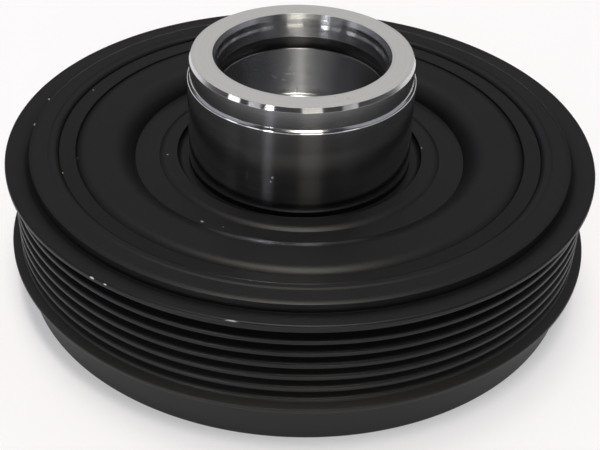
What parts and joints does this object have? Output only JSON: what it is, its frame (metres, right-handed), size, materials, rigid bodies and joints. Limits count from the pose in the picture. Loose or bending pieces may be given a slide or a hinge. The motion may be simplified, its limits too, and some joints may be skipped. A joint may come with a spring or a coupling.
{
  "type": "harmonic balancer",
  "caption": "Crankshaft harmonic balancer: a hub with a machined snout, a bonded elastomer ring and a grooved belt-drive inertia ring.",
  "frame": {"origin": "on the axis of rotation, in the plane of the inertia ring's lower face, on which the part stands", "axes": "+Z along the axis of rotation, from the belt side up towards the mouth of the snout; the part is turned, so X and Y have no preferred direction"},
  "size_m": [0.1584, 0.1584, 0.063],
  "materials": {
    "hub_iron": "satin black paint on the web and the rim, bare turned iron on the snout and in the bores",
    "elastomer": "black moulded rubber, satin",
    "ring_iron": "satin black paint over turned iron, worn through in a few nicks on the lips"
  },
  "bodies": {
    "root": {"hub": "hub_iron", "damper_elastomer": "elastomer", "pulley_ring": "ring_iron"}
  },
  "joints": []
}
